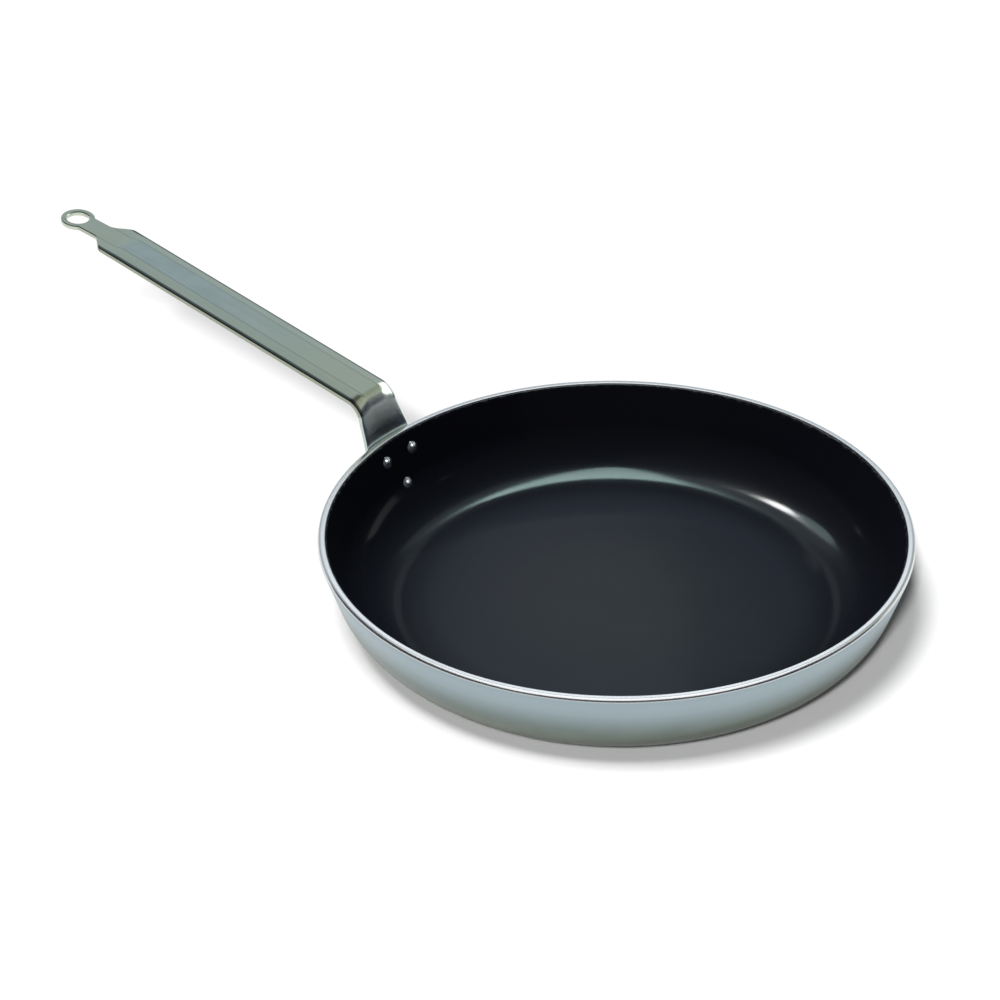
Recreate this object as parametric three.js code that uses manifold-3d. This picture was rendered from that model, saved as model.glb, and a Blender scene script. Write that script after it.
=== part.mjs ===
// Frying pan: a bowl pressed from thick aluminium sheet, a dark release coating inside it, and a
// strip steel handle riveted to its wall. Millimetres, +Z up. The base stands on z = 0 with its
// centre at the origin, and the handle runs out over +X.

import * as THREE from 'three';
import { mergeVertices, toCreasedNormals } from 'three/addons/utils/BufferGeometryUtils.js';
import Module from 'manifold-3d';

const wasm = await Module();
wasm.setup();

const { degToRad, lerp, smoothstep } = THREE.MathUtils;

// Bowl
const rimRadius = 160; // outermost radius, at the rim
const panHeight = 51; // from the base to the top of the rim
const sheetThickness = 4.5; // of the base and the wall alike
const wallLean = degToRad( 18 ); // from upright, outwards
const innerCornerRadius = 34; // between the cooking floor and the wall
const rimEdgeRadius = 2; // rounding of the rim's outer edge

// Release coating
const coatingThickness = 0.5;
const bareRimDepth = 1; // bare metal below the rim, down the inside of the wall

// Handle strip
const stripWidth = 30;
const stripThickness = 3;
const bendCornerRise = 24; // height above the rim where the foot's and the grip's lines meet
const bendRadius = 13.5; // of the strip's upper face
const gripRise = degToRad( 11 ); // above level
const gripLength = 195; // straight stretch between the bend and the shoulders
const crownWidth = 14; // flat ridge pressed up along the grip
const crownHeight = 2;
const crownRunOut = 12; // length over which the ridge fades, in the bend and before the shoulders
const shoulderLength = 14; // where the strip narrows to the neck
const neckWidth = 14;
const neckDroop = degToRad( 3.5 ); // the neck lies this much flatter than the grip
const neckLength = 20; // from the shoulders to the middle of the eye
const eyeDiameter = 20.5;
const eyeHoleDiameter = 13.5;

// Riveted foot of the handle
const upperRivetDepth = 11.5; // down the inside of the wall from the rim
const lowerRivetDepth = 29;
const upperRivetSpacing = 22.6; // across the foot
const upperRivetMargin = 8; // from a rivet's axis to the foot's edge
const lowerRivetMargin = 9.5;

// Rivets
const shankDiameter = 4.4;
const headDiameter = 7.5;
const headHeight = 1.4;

// Clearances
const coatingGap = 0.1; // between the coating and the bowl
const seatGap = 0.3; // under the handle's foot and under each rivet head
const holeGap = 0.3; // around a rivet's shank

// Fineness of the round surfaces
const bowlSegments = 72;
const cornerSteps = 5; // half the steps of a bowl corner
const rivetSegments = 20;
const domeSteps = 2; // half the steps of a rivet head
const eyeSegments = 32;
const outlineSteps = 6; // half the steps of an arc in the strip's outline
const footRows = 8;
const riseRows = 4; // between the rim and the bend
const bendRows = 12;
const crownEndRows = 4;
const leastRow = 0.2; // two rows of the strip closer than this become one
const creaseAngle = degToRad( 30 ); // facets that meet more gently are shaded as one surface

// Section of the bowl, as radius and height
const outerCornerRadius = innerCornerRadius + sheetThickness;
const rimEdgeCentre = new THREE.Vector2( rimRadius - rimEdgeRadius, panHeight - rimEdgeRadius );
const cornerHeight = outerCornerRadius;
const wallSpan = outerCornerRadius - rimEdgeRadius + ( rimEdgeCentre.y - cornerHeight ) * Math.sin( wallLean );
const flatRadius = rimEdgeCentre.x - wallSpan / Math.cos( wallLean );
const cornerCentre = new THREE.Vector2( flatRadius, cornerHeight );
const wallTangentHeight = cornerHeight - innerCornerRadius * Math.sin( wallLean );
const wallLength = ( panHeight - wallTangentHeight ) / Math.cos( wallLean );

// Point of the inside face at a depth down the wall from the rim, the wall's lean there, and the
// direction out through the wall.
function wallFrame( depth ) {

	const pastWall = Math.max( 0, depth - wallLength );
	const lean = wallLean + pastWall / innerCornerRadius;
	const outward = new THREE.Vector2( Math.cos( lean ), - Math.sin( lean ) );
	const upward = new THREE.Vector2( Math.sin( wallLean ), Math.cos( wallLean ) );
	const point = cornerCentre.clone();
	point.addScaledVector( outward, innerCornerRadius );
	point.addScaledVector( upward, wallLength - depth + pastWall );
	return { point, lean, outward };

}

// A closed solid for joining and cutting, made from a geometry's positions alone.
function solidOf( geometry ) {

	const bare = geometry.clone();
	bare.deleteAttribute( 'normal' );
	bare.deleteAttribute( 'uv' );
	const merged = mergeVertices( bare );
	const corners = merged.index.array;
	const triangles = [];
	for ( let i = 0; i < corners.length; i += 3 ) {

		const triangle = corners.subarray( i, i + 3 );
		if ( new Set( triangle ).size === 3 ) triangles.push( ...triangle );

	}

	return new wasm.Manifold( new wasm.Mesh( {
		numProp: 3,
		vertProperties: new Float32Array( merged.attributes.position.array ),
		triVerts: new Uint32Array( triangles )
	} ) );

}

function geometryOf( solid ) {

	const mesh = solid.getMesh();
	const geometry = new THREE.BufferGeometry();
	geometry.setAttribute( 'position', new THREE.BufferAttribute( mesh.vertProperties, 3 ) );
	geometry.setIndex( new THREE.BufferAttribute( mesh.triVerts, 1 ) );
	return toCreasedNormals( geometry, creaseAngle );

}

function pierced( geometry, cutters ) {

	let solid = solidOf( geometry );
	for ( const cutter of cutters ) solid = solid.subtract( solidOf( cutter ) );
	return geometryOf( solid );

}

// A profile of radius and height turned about the Z axis.
function turned( profile, segments ) {

	return new THREE.LatheGeometry( profile, segments ).rotateX( Math.PI / 2 );

}

function bowlGeometry() {

	const innerRim = wallFrame( 0 ).point;
	const profile = new THREE.Path();
	profile.moveTo( 0, 0 );
	profile.lineTo( flatRadius, 0 );
	profile.absarc( cornerCentre.x, cornerCentre.y, outerCornerRadius, - Math.PI / 2, - wallLean, false );
	profile.absarc( rimEdgeCentre.x, rimEdgeCentre.y, rimEdgeRadius, - wallLean, Math.PI / 2, false );
	profile.lineTo( innerRim.x, innerRim.y );
	profile.absarc( cornerCentre.x, cornerCentre.y, innerCornerRadius, - wallLean, - Math.PI / 2, true );
	profile.lineTo( 0, sheetThickness );
	return turned( profile.getPoints( cornerSteps ), bowlSegments );

}

// A skin of even thickness over the cooking floor, the corner and the wall, short of the rim.
function coatingGeometry() {

	const backRadius = innerCornerRadius - coatingGap;
	const faceRadius = backRadius - coatingThickness;
	const edge = wallFrame( bareRimDepth );
	const backEdge = edge.point.clone().addScaledVector( edge.outward, - coatingGap );
	const faceEdge = backEdge.clone().addScaledVector( edge.outward, - coatingThickness );
	const profile = new THREE.Path();
	profile.moveTo( 0, cornerCentre.y - backRadius );
	profile.lineTo( flatRadius, cornerCentre.y - backRadius );
	profile.absarc( cornerCentre.x, cornerCentre.y, backRadius, - Math.PI / 2, - wallLean, false );
	profile.lineTo( backEdge.x, backEdge.y );
	profile.lineTo( faceEdge.x, faceEdge.y );
	profile.absarc( cornerCentre.x, cornerCentre.y, faceRadius, - wallLean, - Math.PI / 2, true );
	profile.lineTo( 0, cornerCentre.y - faceRadius );
	return turned( profile.getPoints( cornerSteps ), bowlSegments );

}

// The handle's upper face is the one that seats on the wall. Its line runs up the wall from the
// foot's tip, bends outwards above the rim and goes out along the grip to the tip of the eye.
const seatDistance = sheetThickness + seatGap;
const seatCornerRadius = innerCornerRadius + seatDistance;
const bendTurn = Math.PI / 2 - wallLean - gripRise;
const bendStartRise = bendCornerRise / Math.cos( wallLean ) - bendRadius * Math.tan( bendTurn / 2 );
const bendLength = bendRadius * bendTurn;

// Length along the foot from the rim's level down to a depth on the wall.
function footLengthTo( depth ) {

	const pastWall = Math.max( 0, depth - wallLength );
	return depth - pastWall + pastWall * seatCornerRadius / innerCornerRadius;

}

const footLength = footLengthTo( lowerRivetDepth ) + lowerRivetMargin;
const footCornerLength = Math.max( 0, footLength - wallLength );
const footTipDepth = footLength - footCornerLength * ( 1 - innerCornerRadius / seatCornerRadius );
const handleRuns = [
	{ length: footCornerLength, turn: footCornerLength / seatCornerRadius },
	{ length: footLength - footCornerLength + bendStartRise, turn: 0 },
	{ length: bendLength, turn: - bendTurn },
	{ length: gripLength, turn: 0 },
	{ length: shoulderLength, turn: - neckDroop },
	{ length: neckLength + eyeDiameter / 2, turn: 0 }
];

// Stations along the strip, counted from the foot's tip
const upperRivetStation = footLength - footLengthTo( upperRivetDepth );
const bendStation = footLength + bendStartRise;
const gripStation = bendStation + bendLength;
const shoulderStation = gripStation + gripLength;
const neckStation = shoulderStation + shoulderLength;
const eyeStation = neckStation + neckLength;

// Point and heading of the handle's line at a station.
function handleFrame( station ) {

	const foot = wallFrame( footTipDepth );
	const point = foot.point.clone().addScaledVector( foot.outward, seatDistance );
	let heading = Math.PI / 2 - foot.lean;
	let left = station;
	for ( const run of handleRuns ) {

		const length = Math.min( left, run.length );
		if ( length <= 0 ) break;
		const turn = run.turn * length / run.length;
		const chord = turn === 0 ? length : length * Math.sin( turn / 2 ) / ( turn / 2 );
		point.x += chord * Math.cos( heading + turn / 2 );
		point.y += chord * Math.sin( heading + turn / 2 );
		heading += turn;
		left -= length;

	}

	return { point, heading };

}

// Where the outer tangent of two circles touches each of them, above the line between them.
function tangentPoints( centreA, radiusA, centreB, radiusB ) {

	const across = centreB.clone().sub( centreA );
	const angle = across.angle() + Math.acos( ( radiusA - radiusB ) / across.length() );
	const direction = new THREE.Vector2( Math.cos( angle ), Math.sin( angle ) );
	return {
		angle,
		onA: centreA.clone().addScaledVector( direction, radiusA ),
		onB: centreB.clone().addScaledVector( direction, radiusB )
	};

}

// Half of the flat strip's outline before it is bent, as station and half width: a foot drawn
// round its three rivets, the straight grip, the shoulders, the neck and the round eye.
function stripOutline() {

	const tip = new THREE.Vector2( lowerRivetMargin, 0 );
	const lobe = new THREE.Vector2( upperRivetStation, upperRivetSpacing / 2 );
	const bend = new THREE.Vector2( bendStation, stripWidth / 2 );
	const footSide = tangentPoints( tip, lowerRivetMargin, lobe, upperRivetMargin );
	const bendSide = tangentPoints( lobe, upperRivetMargin, bend, 0 );
	const eyeRadius = eyeDiameter / 2;
	const eyeStart = Math.PI - Math.asin( neckWidth / 2 / eyeRadius );
	const shoulderMiddle = shoulderStation + shoulderLength / 2;
	const outline = new THREE.Path();
	outline.moveTo( 0, 0 );
	outline.absarc( tip.x, tip.y, lowerRivetMargin, Math.PI, footSide.angle, true );
	outline.lineTo( footSide.onB.x, footSide.onB.y );
	outline.absarc( lobe.x, lobe.y, upperRivetMargin, footSide.angle, bendSide.angle, true );
	outline.lineTo( bend.x, bend.y );
	outline.lineTo( shoulderStation, stripWidth / 2 );
	outline.bezierCurveTo(
		shoulderMiddle, stripWidth / 2,
		shoulderMiddle, neckWidth / 2,
		neckStation, neckWidth / 2
	);
	outline.absarc( eyeStation, 0, eyeRadius, eyeStart, 0, true );
	return outline.getPoints( outlineSteps );

}

// Even steps from one station to another, both ends included.
function stepsBetween( from, to, count ) {

	return Array.from( { length: count + 1 }, ( _, i ) => lerp( from, to, i / count ) );

}

// Stations of the strip's cross rows: every corner of the outline, and the steps that the bends
// and the far end of the crown need.
function rowStations( outline ) {

	const stations = [
		...outline.map( ( corner ) => corner.x ),
		...stepsBetween( 0, footLength, footRows ),
		...stepsBetween( footLength, bendStation, riseRows ),
		...stepsBetween( bendStation, gripStation, bendRows ),
		...stepsBetween( shoulderStation - crownRunOut, shoulderStation, crownEndRows )
	];
	stations.sort( ( a, b ) => a - b );
	const last = stations[ stations.length - 1 ];
	const rows = stations.filter( ( s, i ) => i === 0 || s - stations[ i - 1 ] > leastRow );
	rows[ rows.length - 1 ] = last;
	return rows;

}

function halfWidthAt( outline, station ) {

	const next = outline.findIndex( ( corner ) => corner.x >= station );
	if ( next <= 0 ) return outline[ 0 ].y;
	const from = outline[ next - 1 ];
	const to = outline[ next ];
	return lerp( from.y, to.y, ( station - from.x ) / ( to.x - from.x ) );

}

// How far the strip is pressed up at a station and a distance from its middle line.
function crownLift( station, offset ) {

	const start = smoothstep( station, bendStation, bendStation + crownRunOut );
	const end = 1 - smoothstep( station, shoulderStation - crownRunOut, shoulderStation );
	const flank = ( stripWidth / 2 - Math.abs( offset ) ) / ( stripWidth / 2 - crownWidth / 2 );
	return crownHeight * start * end * THREE.MathUtils.clamp( flank, 0, 1 );

}

// The strip is a flat bar with rows along it and columns across it. Each vertex is set to the
// outline's width, lifted by the crown and carried along the handle's line. The foot is curved
// to the round wall, and flattens out between the rim and the bend.
function handleGeometry() {

	const outline = stripOutline();
	const rows = rowStations( outline );
	const crease = crownWidth / stripWidth;
	const halfColumns = [ crease / 2, crease, ( 1 + crease ) / 2, 1 ];
	const columns = [ ...halfColumns.map( ( column ) => - column ).reverse(), 0, ...halfColumns ];
	const bar = new THREE.BoxGeometry( 1, 1, 1, rows.length - 1, columns.length - 1, 1 );
	const position = bar.attributes.position;
	for ( let i = 0; i < position.count; i ++ ) {

		const station = rows[ Math.round( ( position.getX( i ) + 0.5 ) * ( rows.length - 1 ) ) ];
		const column = columns[ Math.round( ( position.getY( i ) + 0.5 ) * ( columns.length - 1 ) ) ];
		const depth = position.getZ( i ) > 0 ? 0 : stripThickness;
		const offset = column * halfWidthAt( outline, station );
		const { point, heading } = handleFrame( station );
		const lift = crownLift( station, offset ) - depth;
		const radius = point.x - lift * Math.sin( heading );
		const height = point.y + lift * Math.cos( heading );
		const curved = 1 - smoothstep( station, footLength, bendStation );
		const across = lerp( radius, Math.sqrt( radius * radius - offset * offset ), curved );
		position.setXYZ( i, across, offset, height );

	}

	return bar;

}

// Longer than any hole that is cut through the wall and the strip.
const cutterLength = 4 * ( sheetThickness + stripThickness );

// The eye's hole, square to the neck.
function eyeCutter() {

	const { point, heading } = handleFrame( eyeStation );
	const holeRadius = eyeHoleDiameter / 2;
	const hole = new THREE.CylinderGeometry( holeRadius, holeRadius, cutterLength, eyeSegments );
	hole.rotateX( Math.PI / 2 );
	hole.rotateY( - heading );
	hole.translate( point.x, 0, point.y );
	return hole;

}

// A rivet along Y, with the inside face of the bowl's wall at y = 0 and the handle at +y. Its
// inner head clears the hollow of the corner that it stands in.
function rivetGeometry() {

	const headRadius = headDiameter / 2;
	const hollowRadius = innerCornerRadius - coatingGap - coatingThickness;
	const hollow = hollowRadius - Math.sqrt( hollowRadius * hollowRadius - headRadius * headRadius );
	const innerSeat = - ( coatingGap + coatingThickness + hollow + seatGap );
	const outerSeat = seatDistance + stripThickness + seatGap;
	const domeRadius = ( headRadius * headRadius + headHeight * headHeight ) / ( 2 * headHeight );
	const domeSpread = Math.asin( headRadius / domeRadius );
	const innerDome = innerSeat - headHeight + domeRadius;
	const outerDome = outerSeat + headHeight - domeRadius;
	const profile = new THREE.Path();
	profile.moveTo( 0, innerSeat - headHeight );
	profile.absarc( 0, innerDome, domeRadius, - Math.PI / 2, - Math.PI / 2 + domeSpread, false );
	profile.lineTo( shankDiameter / 2, innerSeat );
	profile.lineTo( shankDiameter / 2, outerSeat );
	profile.absarc( 0, outerDome, domeRadius, Math.PI / 2 - domeSpread, Math.PI / 2, false );
	return new THREE.LatheGeometry( profile.getPoints( domeSteps ), rivetSegments );

}

function rivetCutter() {

	const holeRadius = shankDiameter / 2 + holeGap;
	return new THREE.CylinderGeometry( holeRadius, holeRadius, cutterLength, rivetSegments );

}

const bareAluminium = { color: 0xb4bcbe, roughness: 0.35, metalness: 1 };
const releaseCoating = { color: 0x24272b, roughness: 0.4, metalness: 0 };
const stripSteel = { color: 0x929c98, roughness: 0.4, metalness: 1 };

function piece( name, geometry, finish ) {

	const mesh = new THREE.Mesh( geometry, new THREE.MeshStandardMaterial( finish ) );
	mesh.name = name;
	return mesh;

}

// A rivet on the wall, square to it, inside a group that is turned to its place round the bowl.
function setRivet( name, depth, offset ) {

	const wall = wallFrame( depth );
	const seatRadius = wall.point.x + seatDistance * wall.outward.x;
	const rivet = piece( name, rivetGeometry(), bareAluminium );
	rivet.position.set( wall.point.x, 0, wall.point.y );
	rivet.rotation.set( 0, wall.lean, - Math.PI / 2 );
	const turn = new THREE.Group();
	turn.rotation.z = Math.asin( offset / seatRadius );
	turn.add( rivet );
	turn.updateMatrixWorld( true );
	return { turn, cutter: rivetCutter().applyMatrix4( rivet.matrixWorld ) };

}

const rivets = [
	setRivet( 'rivet_upper_left', upperRivetDepth, upperRivetSpacing / 2 ),
	setRivet( 'rivet_upper_right', upperRivetDepth, - upperRivetSpacing / 2 ),
	setRivet( 'rivet_lower', lowerRivetDepth, 0 )
];
const rivetHoles = rivets.map( ( rivet ) => rivet.cutter );

const fryingPan = new THREE.Group();
fryingPan.add( piece( 'pan_body', pierced( bowlGeometry(), rivetHoles ), bareAluminium ) );
fryingPan.add( piece( 'release_coating', pierced( coatingGeometry(), rivetHoles ), releaseCoating ) );
fryingPan.add( piece( 'handle', pierced( handleGeometry(), [ ...rivetHoles, eyeCutter() ] ), stripSteel ) );
for ( const rivet of rivets ) fryingPan.add( rivet.turn );

export default fryingPan;
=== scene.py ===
"""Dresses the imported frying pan: a spun bowl, its release coating, a bent strip handle and three rivets."""

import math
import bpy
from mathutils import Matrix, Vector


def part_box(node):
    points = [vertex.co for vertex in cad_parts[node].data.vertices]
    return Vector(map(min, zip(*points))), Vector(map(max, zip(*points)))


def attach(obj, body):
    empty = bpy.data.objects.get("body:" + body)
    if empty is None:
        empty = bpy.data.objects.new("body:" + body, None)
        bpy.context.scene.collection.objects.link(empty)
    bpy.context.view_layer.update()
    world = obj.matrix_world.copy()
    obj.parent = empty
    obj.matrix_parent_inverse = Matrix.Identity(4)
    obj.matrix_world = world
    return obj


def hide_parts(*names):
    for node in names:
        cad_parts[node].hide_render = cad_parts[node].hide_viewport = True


bl_info = {
    "name": "Frying pan",
    "version": (1, 0, 0),
    "blender": (4, 5, 0),
    "location": "3D View > Sidebar > Pan",
    "description": "Models and finishes a non-stick frying pan on its packed frame",
    "category": "Add Mesh",
}

import bmesh
import bpy
from bpy.props import FloatProperty, FloatVectorProperty, IntProperty, PointerProperty
from mathutils import Matrix, Vector

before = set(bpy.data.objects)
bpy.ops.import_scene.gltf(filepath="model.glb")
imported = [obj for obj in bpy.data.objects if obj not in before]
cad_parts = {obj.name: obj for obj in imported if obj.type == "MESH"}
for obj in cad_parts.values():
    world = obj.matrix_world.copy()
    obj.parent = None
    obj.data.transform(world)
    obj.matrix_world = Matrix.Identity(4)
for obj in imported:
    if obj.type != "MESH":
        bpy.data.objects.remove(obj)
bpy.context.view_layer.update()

MM = 0.001
BOWL_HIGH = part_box("pan_body")[1]

# Steps of the arcs in the spun profiles, and of a rivet's spin.
CORNER_STEPS = 24
FACE_STEPS = 32
RIM_STEPS = 12
LIP_STEPS = 6
HEAD_STEPS = 8
RIVET_SEGMENTS = 40

# The point that lamps and cards face, the floor's half size and glow, and the camera's sensor in mm.
PAN_MIDDLE = Vector((0, 0, 30 * MM))
FLOOR_HALF = 6
FLOOR_GLOW = 0.02
SENSOR_WIDTH = 36


class BowlSizes(bpy.types.PropertyGroup):
    """Sizes of the pressed bowl and of the coating inside it."""

    rim_radius: FloatProperty(
        name="Rim radius",
        description="Outermost radius, at the rim",
        default=BOWL_HIGH.y,
        unit="LENGTH",
    )
    height: FloatProperty(
        name="Height",
        description="From the base to the top of the rim",
        default=BOWL_HIGH.z,
        unit="LENGTH",
    )
    sheet: FloatProperty(
        name="Sheet",
        description="Thickness of the base and the wall",
        default=4.5 * MM,
        unit="LENGTH",
    )
    lean: FloatProperty(
        name="Wall lean",
        description="Lean of the wall from upright",
        default=math.radians(18),
        subtype="ANGLE",
    )
    corner: FloatProperty(
        name="Corner radius",
        description="Radius between the cooking floor and the wall",
        default=34 * MM,
        unit="LENGTH",
    )
    outer_edge: FloatProperty(
        name="Outer rim edge",
        description="Rounding of the rim's outer edge",
        default=2 * MM,
        unit="LENGTH",
    )
    inner_edge: FloatProperty(
        name="Inner rim edge",
        description="Rounding of the rim's inner edge",
        default=0.6 * MM,
        unit="LENGTH",
    )
    coating: FloatProperty(
        name="Coating",
        description="Thickness of the coating's skin",
        default=0.5 * MM,
        unit="LENGTH",
    )
    coating_gap: FloatProperty(
        name="Coating gap",
        description="Gap between the coating and the bowl",
        default=0.1 * MM,
        unit="LENGTH",
    )
    bare_depth: FloatProperty(
        name="Bare depth",
        description="Bare metal below the rim, down the inside of the wall",
        default=1 * MM,
        unit="LENGTH",
    )
    segments: IntProperty(
        name="Segments",
        description="Steps of the spin",
        default=180,
        min=24,
    )


class HandleSizes(bpy.types.PropertyGroup):
    """Sizes of the strip handle and of the rivets that hold it."""

    width: FloatProperty(
        name="Strip width",
        description="Width of the grip",
        default=30 * MM,
        unit="LENGTH",
    )
    thickness: FloatProperty(
        name="Strip thickness",
        description="Thickness of the strip",
        default=3 * MM,
        unit="LENGTH",
    )
    edge_radius: FloatProperty(
        name="Edge radius",
        description="Rounding of the strip's cut edges",
        default=0.7 * MM,
        unit="LENGTH",
    )
    corner_rise: FloatProperty(
        name="Bend height",
        description="Height above the rim where the foot's and the grip's lines meet",
        default=24 * MM,
        unit="LENGTH",
    )
    bend_radius: FloatProperty(
        name="Bend radius",
        description="Radius of the strip's upper face in the bend",
        default=13.5 * MM,
        unit="LENGTH",
    )
    grip_rise: FloatProperty(
        name="Grip rise",
        description="Slope of the grip above level",
        default=math.radians(11),
        subtype="ANGLE",
    )
    grip_length: FloatProperty(
        name="Grip length",
        description="Straight stretch between the bend and the shoulders",
        default=195 * MM,
        unit="LENGTH",
    )
    crown_width: FloatProperty(
        name="Crown width",
        description="Width of the ridge pressed up along the grip",
        default=14 * MM,
        unit="LENGTH",
    )
    crown_height: FloatProperty(
        name="Crown height",
        description="Height of the ridge",
        default=2 * MM,
        unit="LENGTH",
    )
    crown_end: FloatProperty(
        name="Crown end",
        description="Length over which the ridge fades into the strip",
        default=12 * MM,
        unit="LENGTH",
    )
    shoulder: FloatProperty(
        name="Shoulder length",
        description="Where the strip narrows to the neck",
        default=14 * MM,
        unit="LENGTH",
    )
    neck_width: FloatProperty(
        name="Neck width",
        description="Width between the shoulders and the eye",
        default=14 * MM,
        unit="LENGTH",
    )
    neck_droop: FloatProperty(
        name="Neck droop",
        description="The neck lies this much flatter than the grip",
        default=math.radians(3.5),
        subtype="ANGLE",
    )
    neck_length: FloatProperty(
        name="Neck length",
        description="From the shoulders to the middle of the eye",
        default=20 * MM,
        unit="LENGTH",
    )
    eye: FloatProperty(
        name="Eye",
        description="Outer diameter of the hanging eye",
        default=20.5 * MM,
        unit="LENGTH",
    )
    eye_hole: FloatProperty(
        name="Eye hole",
        description="Diameter of the hole in the eye",
        default=13.5 * MM,
        unit="LENGTH",
    )
    upper_depth: FloatProperty(
        name="Upper rivets",
        description="Depth of the two upper rivets down the wall",
        default=11.5 * MM,
        unit="LENGTH",
    )
    lower_depth: FloatProperty(
        name="Lower rivet",
        description="Depth of the lower rivet down the wall",
        default=29 * MM,
        unit="LENGTH",
    )
    spacing: FloatProperty(
        name="Rivet spacing",
        description="Between the two upper rivets",
        default=22.6 * MM,
        unit="LENGTH",
    )
    upper_margin: FloatProperty(
        name="Upper margin",
        description="From an upper rivet's axis to the foot's edge",
        default=8 * MM,
        unit="LENGTH",
    )
    lower_margin: FloatProperty(
        name="Lower margin",
        description="From the lower rivet's axis to the foot's edge",
        default=9.5 * MM,
        unit="LENGTH",
    )
    seat_gap: FloatProperty(
        name="Seat gap",
        description="Gap under the foot",
        default=0.3 * MM,
        unit="LENGTH",
    )
    shank: FloatProperty(
        name="Shank",
        description="Diameter of a rivet's shank",
        default=4.4 * MM,
        unit="LENGTH",
    )
    head: FloatProperty(
        name="Head",
        description="Diameter of a rivet's head",
        default=7.5 * MM,
        unit="LENGTH",
    )
    head_height: FloatProperty(
        name="Head height",
        description="Height of a rivet's head",
        default=1.4 * MM,
        unit="LENGTH",
    )


class Finishes(bpy.types.PropertyGroup):
    """Colours of the pan's finishes."""

    aluminium: FloatVectorProperty(
        name="Aluminium",
        description="Satin aluminium of the bowl",
        default=(0.335, 0.415, 0.45),
        subtype="COLOR",
    )
    # Painted shade: the dark colour that the wall takes low down, for the shadowed floor that it mirrors.
    low_shade_aluminium: FloatVectorProperty(
        name="Dulled aluminium",
        description="Aluminium near the base, dulled by the hob",
        default=(0.11, 0.135, 0.11),
        subtype="COLOR",
    )
    rim: FloatVectorProperty(
        name="Bare rim",
        description="Aluminium turned bright at the rim",
        default=(0.80, 0.81, 0.82),
        subtype="COLOR",
    )
    coating: FloatVectorProperty(
        name="Coating",
        description="Dark release coating",
        default=(0.0038, 0.0041, 0.0062),
        subtype="COLOR",
    )
    # Partly wear and partly painted light: the lighter tone of the middle of the cooking floor, also taken
    # brighter on the rubbed upper edge.
    worn_and_lit_coating: FloatVectorProperty(
        name="Worn coating",
        description="Coating rubbed dull in the middle of the cooking floor",
        default=(0.0138, 0.0144, 0.0166),
        subtype="COLOR",
    )
    steel: FloatVectorProperty(
        name="Strip steel",
        description="Rolled steel of the handle",
        default=(0.52, 0.60, 0.57),
        subtype="COLOR",
    )
    # Painted reflection: an olive tint near the pan, on the flanks beside the crown and on the neck.
    olive_reflection_steel: FloatVectorProperty(
        name="Warmed steel",
        description="Steel tinted by heat, near the pan, beside the crown and on the neck",
        default=(0.58, 0.63, 0.50),
        subtype="COLOR",
    )
    rivet: FloatVectorProperty(
        name="Rivets",
        description="Bare aluminium of the rivet heads",
        default=(0.62, 0.66, 0.68),
        subtype="COLOR",
    )


class StageSettings(bpy.types.PropertyGroup):
    """The photograph's view and the studio round the pan."""

    azimuth: FloatProperty(
        name="Azimuth",
        description="Direction that the camera looks from",
        default=math.radians(218.7),
        subtype="ANGLE",
    )
    elevation: FloatProperty(
        name="Elevation",
        description="Height of the camera above level",
        default=math.radians(31.765),
        subtype="ANGLE",
    )
    roll: FloatProperty(
        name="Roll",
        description="Turn of the camera about its line of sight",
        default=math.radians(-0.859),
        subtype="ANGLE",
    )
    distance: FloatProperty(
        name="Distance",
        description="From the camera to its aim",
        default=1500 * MM,
        unit="LENGTH",
    )
    aim: FloatVectorProperty(
        name="Aim",
        description="Point at the middle of the picture",
        default=(65.38 * MM, 17.24 * MM, 51 * MM),
        subtype="XYZ",
        unit="LENGTH",
    )
    picture_angle: FloatProperty(
        name="Picture angle",
        description="Angle across the picture",
        default=math.radians(20.607),
        subtype="ANGLE",
    )
    ambient: FloatProperty(
        name="Ambient light",
        description="Strength of the even light from all round",
        default=0.05,
    )
    floor: FloatVectorProperty(
        name="Floor",
        description="Colour of the floor",
        default=(0.80, 0.80, 0.80),
        subtype="COLOR",
    )


def settings():
    """The four groups of settings, as bowl, handle, finishes and stage."""
    scene = bpy.context.scene
    return scene.pan_bowl, scene.pan_handle, scene.pan_finishes, scene.pan_stage


def bowl_section(bowl):
    """Radius of the flat floor, height of the corner's centre and length of the straight wall inside."""
    outer = bowl.corner + bowl.sheet
    edge_radius = bowl.rim_radius - bowl.outer_edge
    edge_height = bowl.height - bowl.outer_edge
    span = outer - bowl.outer_edge + (edge_height - outer) * math.sin(bowl.lean)
    flat = edge_radius - span / math.cos(bowl.lean)
    wall_foot = outer - bowl.corner * math.sin(bowl.lean)
    wall = (bowl.height - wall_foot) / math.cos(bowl.lean)
    return flat, outer, wall


def wall_frame(bowl, depth):
    """Inside point of the wall at a depth below the rim, the lean there and the way out through the wall."""
    flat, centre, wall = bowl_section(bowl)
    past = max(0, depth - wall)
    lean = bowl.lean + past / bowl.corner
    outward = Vector((math.cos(lean), 0, -math.sin(lean)))
    upward = Vector((math.sin(bowl.lean), 0, math.cos(bowl.lean)))
    point = Vector((flat, 0, centre)) + outward * bowl.corner + upward * (wall - depth + past)
    return point, lean, outward


def line_to(bm, vert, target, margin=0.8 * MM):
    """Draws a line on from a vertex, with a support point near each end, and returns its last vertex."""
    start, target = vert.co.copy(), Vector(target)
    span = target - start
    share = min(margin / span.length, 0.3)
    for part in (share, 1 - share, 1):
        vert = bmesh.ops.extrude_vert_indiv(bm, verts=[vert])["verts"][0]
        vert.co = start + span * part
    return vert


def arc_to(bm, vert, centre, turn, steps):
    """Sweeps a vertex round a centre in the XZ plane, anticlockwise, and returns its last copy."""
    swept = bmesh.ops.spin(bm, geom=[vert], cent=centre, axis=(0, -1, 0), angle=turn, steps=steps)
    return next(part for part in swept["geom_last"] if isinstance(part, bmesh.types.BMVert))


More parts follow.
